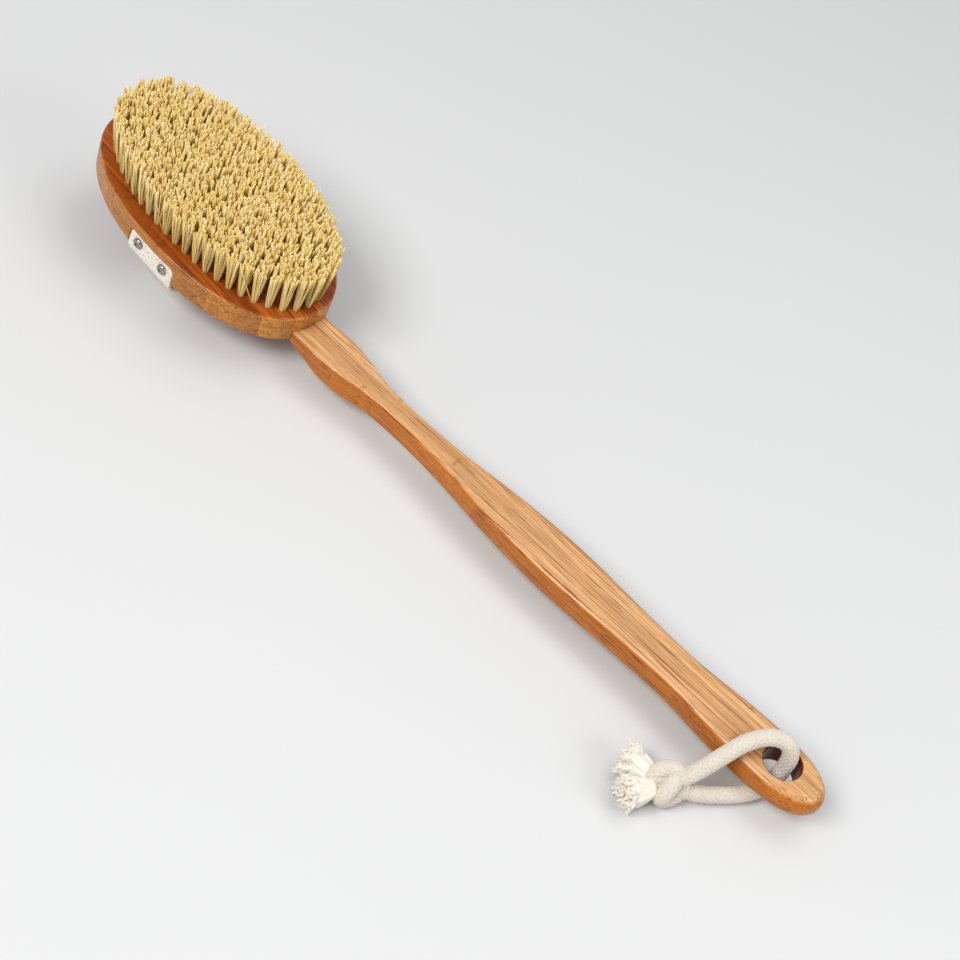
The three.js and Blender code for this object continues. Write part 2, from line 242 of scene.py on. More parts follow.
def centripetal(points, count):
    """Points of the centripetal Catmull-Rom curve through these."""
    p = np.asarray(points, float)
    p = np.vstack([2 * p[0] - p[1], p, 2 * p[-1] - p[-2]])
    out = []
    each = max(2, count // (len(p) - 3))
    for a, b, c, d in zip(p[:-3], p[1:-2], p[2:-1], p[3:]):
        t = np.cumsum([0] + [np.linalg.norm(q - r) ** 0.5 for q, r in ((b, a), (c, b), (d, c))])
        u = np.linspace(t[1], t[2], each, endpoint=False)[:, None]
        ab = (t[1] - u) / (t[1] - t[0]) * a + (u - t[0]) / (t[1] - t[0]) * b
        bc = (t[2] - u) / (t[2] - t[1]) * b + (u - t[1]) / (t[2] - t[1]) * c
        cd = (t[3] - u) / (t[3] - t[2]) * c + (u - t[2]) / (t[3] - t[2]) * d
        abc = (t[2] - u) / (t[2] - t[0]) * ab + (u - t[0]) / (t[2] - t[0]) * bc
        bcd = (t[3] - u) / (t[3] - t[1]) * bc + (u - t[1]) / (t[3] - t[1]) * cd
        out.append((t[2] - u) / (t[2] - t[1]) * abc + (u - t[1]) / (t[2] - t[1]) * bcd)
    return np.vstack([*out, p[-2:-1]])


def even(points, count, closed=False):
    """count points evenly spaced along a polyline."""
    p = np.asarray(points, float)
    if closed:
        p = np.vstack([p, p[:1]])
    run = np.concatenate([[0], np.cumsum(np.linalg.norm(np.diff(p, axis=0), axis=1))])
    at = np.linspace(0, run[-1], count + 1)[:-1] if closed else np.linspace(0, run[-1], count)
    return np.stack([np.interp(at, run, p[:, k]) for k in range(p.shape[1])], axis=1)


def length_of(points):
    return float(np.linalg.norm(np.diff(points, axis=0), axis=1).sum())


def unit(vectors):
    return vectors / np.linalg.norm(vectors, axis=-1, keepdims=True)


def right_of(along):
    """Plane directions turned a quarter clockwise."""
    return np.stack([along[:, 1], -along[:, 0]], axis=1)


def bezier(a, b, c, d, t):
    return a * (1 - t) ** 3 + 3 * b * t * (1 - t) ** 2 + 3 * c * t**2 * (1 - t) + d * t**3


def oval(half_length, half_width, count):
    """An evenly spaced superellipse, anticlockwise from its +x end."""
    t = np.linspace(0, 2 * np.pi, 2000, endpoint=False)
    c, s = np.cos(t), np.sin(t)
    power = 2 / HEAD_POWER
    x = np.sign(c) * np.abs(c) ** power * half_length
    y = np.sign(s) * np.abs(s) ** power * half_width
    return even(np.stack([x, y], axis=1), count, closed=True)


def outward(outline):
    """Unit normals of a closed anticlockwise outline."""
    return right_of(unit(np.roll(outline, -1, axis=0) - np.roll(outline, 1, axis=0)))


# Meshes
def raw_mesh(name, points, faces):
    mesh = bpy.data.meshes.new(name)
    mesh.from_pydata([tuple(p) for p in points], [], [tuple(map(int, f)) for f in faces])
    mesh.validate()
    return mesh


def tube_faces(rings, sides, caps=True):
    """Faces of rings of points, and end caps, all facing out for anticlockwise rings."""
    faces = []
    for a in range(0, (rings - 1) * sides, sides):
        b = a + sides
        for i in range(sides):
            k = (i + 1) % sides
            faces.append((a + i, a + k, b + k, b + i))
    if caps:
        faces.append(tuple(reversed(range(sides))))
        faces.append(tuple(range((rings - 1) * sides, rings * sides)))
    return faces


def tube_points(path, radius, turn, u, v):
    """Rings of points round a path; radius has a row for each ring."""
    points = path[:, None] + (radius * np.cos(turn))[..., None] * u[:, None]
    points = points + (radius * np.sin(turn))[..., None] * v[:, None]
    return points.reshape(-1, 3)


def slab_rings(line, normal, edge, bottom, top):
    """Rings of a slab with rounded edges, from its underside to its upper face."""
    angles = np.linspace(0, np.pi / 2, EDGE_STEPS)
    rings = []
    for start, way, order in ((bottom, 1, angles), (top, -1, angles[::-1])):
        for angle in order:
            inset = (edge * (1 - math.sin(angle)))[:, None]
            z = start + way * edge * (1 - math.cos(angle))
            rings.append(np.column_stack([line - normal * inset, z]))
    return rings


def prism(outline, bottom, top):
    """An outline raised from bottom to top."""
    n = len(outline)
    low = np.column_stack([outline, np.full(n, bottom)])
    high = np.column_stack([outline, np.full(n, top)])
    return np.vstack([low, high]), tube_faces(2, n)


def lathe(profile, sides):
    """A solid turned about z, from (radius, z) pairs that run upwards."""
    turn = np.linspace(0, 2 * np.pi, sides, endpoint=False)
    rings = [np.column_stack([r * np.cos(turn), r * np.sin(turn), np.full(sides, z)])
             for r, z in profile]
    return np.vstack(rings), tube_faces(len(profile), sides)


def joined(parts):
    """Several (points, faces) as one."""
    points, faces, first = [], [], 0
    for p, f in parts:
        points.append(p)
        faces.extend([tuple(i + first for i in face) for face in f])
        first += len(p)
    return np.vstack(points), faces


def boolean(base, tools):
    """base with each (operation, (points, faces)) applied to it, in millimetres."""
    body = bpy.data.objects.new("body", raw_mesh("body", *base))
    scene.collection.objects.link(body)
    made = [body]
    for operation, (points, faces) in tools:
        tool = bpy.data.objects.new("tool", raw_mesh("tool", points, faces))
        scene.collection.objects.link(tool)
        made.append(tool)
        cut = body.modifiers.new("cut", "BOOLEAN")
        cut.operation, cut.solver, cut.object = operation, "MANIFOLD", tool
    graph = bpy.context.evaluated_depsgraph_get()
    mesh = bpy.data.meshes.new_from_object(body.evaluated_get(graph))
    for item in made:
        data = item.data
        bpy.data.objects.remove(item)
        bpy.data.meshes.remove(data)
    return mesh


def corner_normals(mesh, crease, flat_axis):
    """Corner normals weighted by area, split at creases; faces square to the axis stay flat."""
    work = bmesh.new()
    work.from_mesh(mesh)
    work.faces.ensure_lookup_table()
    areas = [face.calc_area() for face in work.faces]
    flat = [abs(face.normal.dot(flat_axis)) > 0.9999 for face in work.faces]
    found = {}
    for vertex in work.verts:
        waiting = set(vertex.link_faces)
        while waiting:
            group = [waiting.pop()]
            for face in group:
                for edge in face.edges:
                    if vertex not in edge.verts or len(edge.link_faces) != 2:
                        continue
                    if edge.calc_face_angle(0) > crease:
                        continue
                    for other in edge.link_faces:
                        if other in waiting:
                            waiting.discard(other)
                            group.append(other)
            level = [face for face in group if flat[face.index]]
            total = Vector((0, 0, 0))
            for face in level or group:
                total += face.normal * areas[face.index]
            for face in group:
                found[face.index, vertex.index] = total.normalized()
    work.free()
    return [found[poly.index, v] for poly in mesh.polygons for v in poly.vertices]


def read_points(mesh):
    points = np.empty(len(mesh.vertices) * 3)
    mesh.vertices.foreach_get("co", points)
    return points.reshape(-1, 3)


def moved(mesh, place):
    """A mesh with place applied to its points."""
    mesh.vertices.foreach_set("co", place(read_points(mesh)).ravel())
    mesh.update()
    return mesh


def piece(name, mesh, material, body, replaced, smooth=True):
    """An object of the brush that rides on a body and stands for the replaced CAD nodes."""
    obj = bpy.data.objects.new(name, mesh)
    scene.collection.objects.link(obj)
    mesh.materials.clear()
    mesh.materials.append(material)
    if smooth:
        mesh.shade_smooth()
    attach(obj, body)
    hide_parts(*replaced)
    return obj


def carved(name, mesh, place, material, body, replaced):
    """A piece cut from a block, with clean flats and soft edges; place moves it to the row."""
    normals = corner_normals(mesh, math.radians(34), Vector((0, 0, 1)))
    origin = place(np.zeros((1, 3)))
    turn = (place(np.eye(3)) - origin) / MM
    moved(mesh, place)
    mesh.shade_smooth()
    turned = np.array([tuple(n) for n in normals]) @ turn
    mesh.normals_split_custom_set([tuple(n) for n in turned])
    return piece(name, mesh, material, body, replaced, smooth=False)


# Materials
class Nodes:
    """A short way to write node trees. A value is a number, a tuple or another node's output."""

    def __init__(self, name):
        self.material = bpy.data.materials.new(name)
        self.material.use_nodes = True
        self.tree = self.material.node_tree
        self.tree.nodes.clear()
        self.shader = self.tree.nodes.new("ShaderNodeBsdfPrincipled")
        output = self.tree.nodes.new("ShaderNodeOutputMaterial")
        self.tree.links.new(self.shader.outputs[0], output.inputs[0])

    def put(self, socket, value):
        if isinstance(value, bpy.types.NodeSocket):
            self.tree.links.new(value, socket)
        else:
            socket.default_value = (*value, 1.0) if socket.type == "RGBA" else value

    def node(self, kind, out=0, inputs=(), **settings):
        made = self.tree.nodes.new("ShaderNode" + kind)
        for key, value in settings.items():
            setattr(made, key, value)
        for key, value in dict(inputs).items():
            self.put(made.inputs[key], value)
        return made.outputs[out]

    def math(self, operation, *values):
        return self.node("Math", inputs=dict(enumerate(values)), operation=operation)

    def times(self, a, b):
        return self.math("MULTIPLY", a, b)

    def plus(self, a, b):
        return self.math("ADD", a, b)

    def minus(self, a, b):
        return self.math("SUBTRACT", a, b)

    def mix(self, share, a, b, blend="MIX"):
        """Two colours mixed; the node's inputs 0, 6 and 7 are its factor and its colours."""
        return self.node("Mix", 2, {0: share, 6: a, 7: b}, data_type="RGBA", blend_type=blend)

    def ramp(self, value, low, high, to_low=0.0, to_high=1.0):
        """A smooth step from to_low, where value is low, to to_high, where it is high."""
        inputs = {0: value, 1: low, 2: high, 3: to_low, 4: to_high}
        return self.node("MapRange", inputs=inputs, interpolation_type="SMOOTHSTEP")

    def noise(self, vector, scale, detail, rough=0.5):
        inputs = {"Vector": vector, "Scale": scale, "Detail": detail, "Roughness": rough}
        return self.node("TexNoise", 0, inputs)

    def cells(self, vector, scale):
        """Distance to the nearest of a scatter of points."""
        inputs = {"Vector": vector, "Scale": scale, "Randomness": 1.0}
        return self.node("TexVoronoi", "Distance", inputs)

    def stretched(self, vector, scale, turn=(0, 0, 0)):
        inputs = {"Vector": vector, "Rotation": turn, "Scale": scale}
        return self.node("Mapping", inputs=inputs)

    def split(self, vector):
        made = self.tree.nodes.new("ShaderNodeSeparateXYZ")
        self.tree.links.new(vector, made.inputs[0])
        return made.outputs[0], made.outputs[1], made.outputs[2]

    def joined(self, x, y, z):
        return self.node("CombineXYZ", inputs={0: x, 1: y, 2: z})

    def where(self):
        """The surface point, in millimetres in the piece's own frame."""
        place = self.node("TexCoord", "Object")
        return self.stretched(place, (1000, 1000, 1000))

    def bump(self, height, strength, distance):
        inputs = {"Height": height, "Strength": strength, "Distance": distance}
        return self.node("Bump", inputs=inputs)

    def finish(self, **sockets):
        """Set the shader's sockets, with _ for a space in their names."""
        for name, value in sockets.items():
            self.put(self.shader.inputs[name.replace("_", " ")], value)
        return self.material


def bamboo(name, *, tilt, pale, mid, line, top_painted_shade, side_painted_shade, grit_tint,
           strip_shift, tones, gloss):
    """Lacquered bamboo: glued strips along x, each with its own tone, fibres and joints, and
    painted light and shade that tints the level faces and the walls apart.
    """
    n = Nodes(name)
    at = n.stretched(n.node("TexCoord", "Object"), (1, 1, 1), turn=(0, -tilt, 0))
    at = n.stretched(at, (1000, 1000, 1000))
    x, y, z = n.split(at)
    course = n.math("DIVIDE", n.plus(y, strip_shift), STRIP_WIDTH)
    index = n.math("FLOOR", course)
    across = n.math("FRACT", course)
    chance = n.node("TexWhiteNoise", "Value", {"W": index}, noise_dimensions="1D")
    # the seeded tone darkens one of the head's strips, partly as painted shade
    seeded = n.plus(index, TONE_AND_SHADE_SEED)
    tone_chance = n.node("TexWhiteNoise", "Value", {"W": seeded}, noise_dimensions="1D")
    far = n.times(chance, 700.0)
    sway = n.noise(n.joined(n.times(x, 0.011), y, far), 0.35, 1.0)
    shifted_y = n.plus(y, n.times(sway, 1.6))
    fine = n.joined(n.plus(n.times(x, 0.02), far), shifted_y, z)
    threads = n.noise(fine, 3.0, 3.0, 0.65)
    bands = n.noise(fine, 0.55, 2.0, 0.5)
    lines = n.ramp(n.noise(fine, 1.7, 2.0, 0.6), 0.545, 0.61)
    dense = n.plus(0.25, n.times(across, 0.85))
    # dark fibre bundles, dots on a cut end and short dashes along the grain
    spots = n.cells(n.joined(n.plus(n.times(x, 0.09), far), shifted_y, z), 1.15)
    flecks = n.ramp(spots, 0.26, 0.10)
    # one growth joint now and then along each strip, a wavy line across it
    wave = n.times(n.noise(n.joined(0.0, y, z), 0.9, 2.0), 3.0)
    along = n.plus(n.plus(x, wave), n.times(chance, 900.0))
    from_joint = n.math("FRACT", n.math("DIVIDE", along, JOINT_SPACING))
    from_joint = n.math("ABSOLUTE", n.minus(from_joint, 0.5))
    from_joint = n.times(from_joint, JOINT_SPACING)
    joint_line = n.ramp(from_joint, 1.5, 0.2)
    joint_halo = n.ramp(from_joint, 9.0, 1.0)
    glue = n.ramp(n.math("ABSOLUTE", n.minus(across, 0.5)), 0.47, 0.497)
    grit = n.ramp(n.noise(at, 2.6, 2.0, 0.6), 0.5, 0.66)

    # side is 0 on the level faces and 1 on the walls
    facing = n.math("ABSOLUTE", n.split(n.node("TexCoord", "Normal"))[2])
    side = n.ramp(facing, 0.95, 0.45)
    colour = n.mix(n.ramp(bands, 0.3, 0.7), pale, mid)
    colour = n.mix(n.times(n.ramp(threads, 0.42, 0.72), 0.48), colour, line)
    colour = n.mix(n.times(n.times(lines, dense), 0.92), colour, line)
    bundle = n.times(flecks, n.plus(0.26, n.times(side, 0.2)))
    colour = n.mix(bundle, colour, line)
    colour = n.mix(n.times(joint_halo, 0.22), colour, mid)
    rough_joint = n.ramp(n.noise(at, 1.4, 2.0), 0.35, 0.6)
    joint_share = n.times(n.times(joint_line, rough_joint), 0.5)
    colour = n.mix(joint_share, colour, line)
    glue = n.times(glue, n.minus(1.0, side))
    colour = n.mix(n.times(glue, 0.45), colour, line)
    tone = n.ramp(tone_chance, 0.0, 1.0, *tones)
    tint = n.joined(tone, n.math("POWER", tone, 1.25), n.math("POWER", tone, 1.5))
    colour = n.mix(1.0, colour, tint, "MULTIPLY")
    colour = n.mix(n.times(grit, n.times(side, 0.5)), colour, grit_tint)
    # painted light and shade: the level faces and the walls get their own tints for how light
    # falls on them, the head's level faces darkened as if shaded by its tufts
    colour = n.mix(1.0, colour, n.mix(side, top_painted_shade, side_painted_shade), "MULTIPLY")
    # the stain soaks into the cut wall of the hanging hole
    hole_x = n.minus(x, HOLE_X + ORIGIN[0])
    squares = n.plus(n.math("POWER", hole_x, 2.0), n.math("POWER", y, 2.0))
    from_axis = n.math("SQRT", squares)
    bore = n.ramp(from_axis, HANG_RADIUS + 0.6, HANG_RADIUS + 0.15)
    colour = n.mix(bore, colour, n.mix(1.0, colour, BORE_TINT, "MULTIPLY"))
    rough = n.ramp(threads, 0.2, 0.8, gloss, gloss + 0.16)
    height = n.minus(threads, n.times(flecks, 0.7))
    return n.finish(
        Base_Color=colour,
        Roughness=rough,
        Specular_IOR_Level=0.2,
        Coat_Weight=0.3,
        Coat_Roughness=0.09,
        Normal=n.bump(height, 0.12, 0.00012),
    )


def fibre_material():
    """Plant fibre: each one its own cream or gold, with painted shade that makes it a little
    browner towards the block.
    """
    n = Nodes("plant_fibre")
    at = n.where()
    each = n.node("NewGeometry", "Random Per Island")
    patch = n.noise(at, 0.09, 2.0)
    streak = n.noise(n.stretched(at, (3.5, 3.5, 0.35)), 1.0, 2.0)
    colour = n.mix(n.ramp(each, 0.0, 0.85), (0.74, 0.50, 0.115), (0.90, 0.75, 0.36))
    colour = n.mix(n.ramp(each, 0.93, 0.98), colour, (0.94, 0.88, 0.66))
    colour = n.mix(n.times(n.ramp(patch, 0.35, 0.7), 0.25), colour, (0.72, 0.48, 0.11))
    brown = n.times(n.ramp(streak, 0.58, 0.78), 0.45)
    colour = n.mix(brown, colour, (0.54, 0.29, 0.035))
    in_head = n.stretched(n.node("TexCoord", "Object"), (1, 1, 1), turn=(0, -HEAD_TILT, 0))
    z = n.split(in_head)[2]
    # painted shade, darkening the fibres a little towards their roots
    root_shade = n.ramp(z, FIBRE_MIDDLE_Z, FIBRE_ROOT_Z)
    colour = n.mix(n.times(root_shade, 0.15), colour, (0.60, 0.36, 0.08))
    return n.finish(
        Base_Color=colour,
        Roughness=n.ramp(streak, 0.2, 0.8, 0.42, 0.6),
        Normal=n.bump(streak, 0.2, 0.0001),
    )


def cotton_material(name, weave, dirt, dark, light):
    """Undyed cotton: fine yarns, darker flecks by dirt, a soft sheen and, if asked, a weave with
    painted shade in its hollows.
    """
    n = Nodes(name)
    at = n.where()
    yarn = n.noise(at, 5.0, 3.0, 0.65)
    cloud = n.noise(at, 0.22, 2.0)
    colour = n.mix(n.ramp(yarn, 0.3, 0.7), dark, light)
    colour = n.mix(n.times(n.ramp(cloud, 0.35, 0.7), 0.3), colour, dark)
    height = yarn
    specks = n.times(n.ramp(n.cells(at, 0.95), 0.36, 0.22), dirt)
    colour = n.mix(specks, colour, (0.36, 0.24, 0.13))
    if weave:
        x, y, z = n.split(at)
        run = n.plus(y, z)
        warp = n.math("SINE", n.times(x, 6.6))
        weft = n.math("SINE", n.times(run, 5.4))
        cloth = n.times(warp, weft)
        height = n.plus(n.times(cloth, 0.5), n.times(yarn, 0.8))
        # painted shade in the hollows of the weave
        pit_shade = n.ramp(cloth, -0.45, -0.95)
        colour = n.mix(n.times(pit_shade, 0.5), colour, (0.48, 0.38, 0.25))
    return n.finish(
        Base_Color=colour,
        Roughness=0.92,
        Sheen_Weight=0.2,
        Sheen_Roughness=0.5,
        Normal=n.bump(height, 0.5, 0.0003),
    )


def nickel_material():
    """Slightly hazed bright nickel."""
    n = Nodes("nickel")
    at = n.where()
    haze = n.noise(at, 2.2, 3.0)
    colour = n.mix(n.ramp(haze, 0.3, 0.7), (0.24, 0.23, 0.22), (0.44, 0.43, 0.41))
    return n.finish(
        Base_Color=colour,
        Metallic=1.0,
        Roughness=n.ramp(haze, 0.25, 0.75, 0.16, 0.32),
    )


handle_wood = bamboo(
    "handle_bamboo",
    tilt=0.0,
    pale=(0.69, 0.405, 0.185),
    mid=(0.57, 0.285, 0.108),
    line=(0.20, 0.06, 0.015),
    top_painted_shade=(1.0, 1.0, 1.0),
    # painted shade: the walls tinted darker than the level faces, for how light falls on them
    side_painted_shade=(0.76, 0.42, 0.05),
    grit_tint=(0.66, 0.34, 0.09),
    strip_shift=3.4,
    tones=(0.88, 1.06),
    gloss=0.26,
)
head_wood = bamboo(
    "head_bamboo",
    tilt=HEAD_TILT,
    pale=(0.68, 0.32, 0.11),
    mid=(0.42, 0.15, 0.036),
    line=(0.12, 0.034, 0.008),
    # painted shade: the level faces darkened as if under the tufts' shadow, the walls tinted for
    # how light falls on them
    top_painted_shade=(0.72, 0.38, 0.09),
    side_painted_shade=(0.93, 0.80, 0.36),
    grit_tint=(0.74, 0.44, 0.22),
    strip_shift=3.8,
    tones=(0.72, 1.12),
    gloss=0.34,
)
fibre = fibre_material()
cord_cotton = cotton_material("cord_cotton", False, 0.14, (0.57, 0.50, 0.405), (0.73, 0.68, 0.60))
yarn_cotton = cotton_material("yarn_cotton", False, 0.0, (0.76, 0.69, 0.58), (0.85, 0.81, 0.74))
strap_cotton = cotton_material("strap_cotton", True, 0.85, (0.74, 0.67, 0.55), (0.93, 0.89, 0.81))
nickel = nickel_material()


# Hanging cord: one braided cotton cord from its knot through the handle and back
def frames_along(path):
    """Two steady unit side vectors along a path."""
    ahead = unit(np.gradient(path, axis=0))
    side = unit(np.cross(ahead[0], (0.3, 0.2, 1.0)))
    sides = []
    for t in ahead:
        side = unit(side - t * side.dot(t))
        sides.append(side)
    sides = np.array(sides)
    return sides, np.cross(ahead, sides)


def braid(turn, run, strands, pitch):
    """How high a braid stands, from 0 to 1, at an angle and a distance along the cord."""
    a = strands * turn / (2 * np.pi) + run / pitch
    b = strands * turn / (2 * np.pi) - run / pitch
    over = (np.floor(a) + np.floor(b)) % 2 == 0
    mine = np.where(over, a, b) % 1.0 - 0.5
    other = np.where(over, b, a) % 1.0 - 0.5
    return np.sqrt(np.clip(1 - (2 * mine) ** 2, 0, 1)) * (0.55 + 0.45 * np.cos(np.pi * other))


def braided(path, radius, sides):
    """A braided cord along a path."""
    run = np.concatenate([[0], np.cumsum(np.linalg.norm(np.diff(path, axis=0), axis=1))])
    turn = np.linspace(0, 2 * np.pi, sides, endpoint=False)
    height = braid(turn[None, :], run[:, None], BRAID_STRANDS, BRAID_PITCH)
    r = radius - BRAID_RELIEF + BRAID_RELIEF * height
    return tube_points(path, r, turn, *frames_along(path)), tube_faces(len(path), sides)


def add_cord():
    route = even(spline(CORD_ROUTE, 600), 340)
    mesh = moved(raw_mesh("hanging_cord", *braided(route, CORD_RADIUS, CORD_SIDES)), to_row)
    cord = piece("hanging_cord", mesh, cord_cotton, "loop", ["loop_cord"])
    return cord, route


cord, cord_route = add_cord()


def add_knot():
    """An overhand knot in both strands: one lobe folds over the top, one comes down in front."""
    axis = np.array([0.73, 0.68, 0.0]) / math.hypot(0.73, 0.68)
    facing = np.array([0.149, -0.587, 0.796])
    facing = unit(facing - axis * facing.dot(axis))
    turn = np.stack([axis, np.cross(facing, axis), facing])
    parts = []
    for line, radius in KNOT_LINES:
        path = even(spline(line, 400) @ turn + KNOT_CENTRE, 150)
        points, faces = braided(path, radius, KNOT_SIDES)
        points[:, 2] = np.maximum(points[:, 2], 0.15)
        parts.append((points, faces))
    mesh = moved(raw_mesh("cord_knot", *joined(parts)), to_row)
    return piece("cord_knot", mesh, cord_cotton, "loop", ["loop_knot"])


knot = add_knot()


def strands_mesh(name, paths, radii, sides, ridge):
    """Many tapering, ridged strands as one mesh; radii has one row for each path."""
    turn = np.linspace(0, 2 * np.pi, sides, endpoint=False)
    ridges = 1 + ridge * np.where(np.arange(sides) % 2 == 0, 1.0, -1.0)
    parts = []
    for path, radius in zip(paths, radii):
        r = np.asarray(radius)[:, None] * ridges[None, :]
        points = tube_points(path, r, turn, *frames_along(path))
        parts.append((points, tube_faces(len(path), sides)))
    return raw_mesh(name, *joined(parts))


def lock_path(start, out, aim, length, curl, steps):
    """A lock of yarn that leaves along out, bends towards aim and curls a little."""
    s = np.linspace(0, 1, steps)[:, None]
    heading = unit(out * (1 - s) + aim * 1.6 * s)
    path = start + np.cumsum(heading, axis=0) * length / steps
    phase = rng.uniform(0, 2 * np.pi, 3)
    return path + curl * s * np.sin(phase + 7.5 * s)


def add_tassel(name, node, turn_deg):
    """A frayed cord end: a soft lobe of fat locks of yarn that split into curly points."""
    turn = math.radians(turn_deg)
    out = np.array([math.cos(turn), math.sin(turn), 0.0])
    across = np.array([-out[1], out[0], 0.0])
    up = np.array([0.0, 0.0, 1.0])
    paths, radii = [], []
    root = KNOT_CENTRE + (0, 0, -0.8) + out * 5.0

    def add(path, radius, lowest):
        path[:, 2] = np.maximum(path[:, 2], lowest)
        paths.append(path)
        radii.append(radius)

    for _ in range(LOCK_COUNT):
        a, b = rng.uniform(-1, 1, 2)
        if a * a + b * b > 1:
            a, b = a * 0.65, b * 0.65
        aim = out + across * (0.55 * a) + up * (0.6 * b)
        start = root + across * (2.9 * a) + up * (2.6 * b)
        path = lock_path(start, out, aim, rng.uniform(12.0, 14.5), 0.4, LOCK_STEPS)
        s = np.linspace(0, 1, LOCK_STEPS)
        fat = np.interp(s, [0, 0.3, 0.75, 1.0], [1.2, 1.75, 1.45, 0.3])
        add(path, fat * rng.uniform(0.85, 1.15), 1.4)
        heading = unit(path[-1] - path[-3])
        for _ in range(POINTS_PER_LOCK):
            lean = heading + rng.normal(0, 0.36, 3)
            begin = path[rng.integers(7, 11)] + rng.normal(0, 0.4, 3)
            point = lock_path(begin, heading, lean, rng.uniform(2.2, 3.8), 0.35, POINT_STEPS)
            add(point, np.array([0.95, 0.98, 0.9, 0.76, 0.58, 0.39, 0.2, 0.06]), 0.8)
        for _ in range(HAIRS_PER_LOCK):
            lean = heading + rng.normal(0, 0.7, 3)
            begin = path[rng.integers(5, 11)] + rng.normal(0, 0.8, 3)
            hair = lock_path(begin, heading, lean, rng.uniform(3.0, 5.5), 0.5, POINT_STEPS)
            add(hair, np.linspace(0.2, 0.07, POINT_STEPS), 0.3)
    mesh = moved(strands_mesh(name, paths, radii, YARN_SIDES, 0.1), to_row)
    return piece(name, mesh, yarn_cotton, "loop", [node])


tassels = [
    add_tassel("frayed_end_1", "cord_tassel_1", -168),
    add_tassel("frayed_end_2", "cord_tassel_2", -116),
]


# Handle
def handle_edge(x):
    """Radius of the rounded edges: nearly square at the head, softer along the grip."""
    stations = [0, 168, 172, 178, 300, 385, 412, 430]
    return np.interp(x, stations, [0.8, 0.8, 1.5, 2.4, 2.9, 3.4, 4.6, 4.8])


def handle_underside(x):
    """Height of the handle's underside, which curves up to the head's back where they meet."""
    t = np.linspace(0, 1, 60)
    return np.interp(x, bezier(130, 144, 154, 168, t), bezier(HEAD_BACK, 4.4, 0, 0, t))


def handle_blank():
    """The handle before the head is cut from it, its tongue added and its hole bored."""
    half = [(x, -w) for x, w in HANDLE_STATIONS]
    mirror = [(x, w) for x, w in reversed(HANDLE_STATIONS)]
    # an odd number of points, so that one lies at the tip
    line = spline([*half, (HANDLE_END_X, 0.0), *mirror], 545)
    normal = right_of(unit(np.gradient(line, axis=0)))
    edge = handle_edge(line[:, 0])
    rings = slab_rings(line, normal, edge, handle_underside(line[:, 0]), HANDLE_THICKNESS)
    n = len(line)
    faces = tube_faces(len(rings), n, caps=False)
    top = (len(rings) - 1) * n
    for i in range(n // 2):
        # a strip across the handle, which is a triangle at the tip
        a, b, c, d = i, i + 1, n - 2 - i, n - 1 - i
        upper = (a, b, c, d) if b != c else (a, b, d)
        faces.append((a, *upper[:0:-1]))
        faces.append(tuple(top + k for k in upper))
    return np.vstack(rings), faces


def dovetail(grow, from_x, to_x, below):
    """The tongue, or when grown its groove; it stands out of the head's back by below."""
    top = TONGUE_HEIGHT + grow
    half_top = TONGUE_TOP_WIDTH / 2 + grow
    slope = (TONGUE_TOP_WIDTH - TONGUE_FOOT_WIDTH) / 2 / TONGUE_HEIGHT
    half_bottom = half_top - slope * (top + below)
    section = [(-half_bottom, -below), (half_bottom, -below), (half_top, top), (-half_top, top)]
    points = [(x, y, z) for x in (from_x, to_x) for y, z in section]
    return np.array(points, float), tube_faces(2, 4)


def head_to_row(points):
    """The head's frame, in millimetres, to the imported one."""
    return to_row(from_head(points))


def to_handle(points):
    """The head's frame to the handle's, whose z = 0 is the handle's underside."""
    return from_head(points) - (0, 0, HANDLE_LIFT)


def add_handle():
    outline = oval(HALF_LENGTH + GAP, HEAD_WIDTH / 2 + GAP, OUTLINE_CORNERS)
    clearance, clearance_faces = prism(outline - (HALF_LENGTH, 0), -30, 40)
    tongue, tongue_faces = dovetail(0, -TONGUE_LENGTH, 1.5, 0)
    eased = [(BORE_EASE, 0.0), (0.45, 0.18), (0.18, 0.45), (0.0, BORE_EASE)]
    bore = [(HANG_RADIUS + BORE_EASE, -2)]
    bore += [(HANG_RADIUS + r, z) for r, z in eased]
    bore += [(HANG_RADIUS + r, HANDLE_THICKNESS - z) for r, z in eased[::-1]]
    bore += [(HANG_RADIUS + BORE_EASE, HANDLE_THICKNESS + 2)]
    bore_points, bore_faces = lathe(bore, BORE_SIDES)
    mesh = boolean(handle_blank(), [
        ("DIFFERENCE", (to_handle(clearance), clearance_faces)),
        ("UNION", (to_handle(tongue), tongue_faces)),
        ("DIFFERENCE", (bore_points + (HOLE_X, 0, 0), bore_faces)),
    ])

    def place(points):
        return to_row(points + (0, 0, HANDLE_LIFT))

    carved("bamboo_handle", mesh, place, handle_wood, "handle", ["handle"])


add_handle()


# Head
def ring_line(ring):
    """The line of one ring of tufts, parallel to the outermost."""
    edge = oval(FIELD_LENGTH / 2, FIELD_WIDTH / 2, 720)
    inset = edge - outward(edge) * ring * RING_PITCH
    reach = ring * RING_PITCH - 0.02
    apart = np.linalg.norm(inset[:, None] - edge[None], axis=2).min(axis=1)
    kept = inset[apart >= reach]
    end = (kept[0] + kept[-1]) / 2
    return np.vstack([end, kept]) if abs(kept[0][1]) > 0.1 else kept


def tuft_places(ring):
    """Base centres of a node's tufts, from the field's centre; the last has the middle row."""
    line = ring_line(ring)
    total = length_of(np.vstack([line, line[:1]]))
    places = even(line, 2 * math.ceil(total / TUFT_PITCH / 2), closed=True)
    if ring < RING_COUNT - 1:
        return places
    count = round(2 * ROW_HALF_LENGTH / TUFT_PITCH) + 1
    row = np.linspace(-ROW_HALF_LENGTH, ROW_HALF_LENGTH, count)
    return np.vstack([places, np.column_stack([row, np.zeros(count)])])


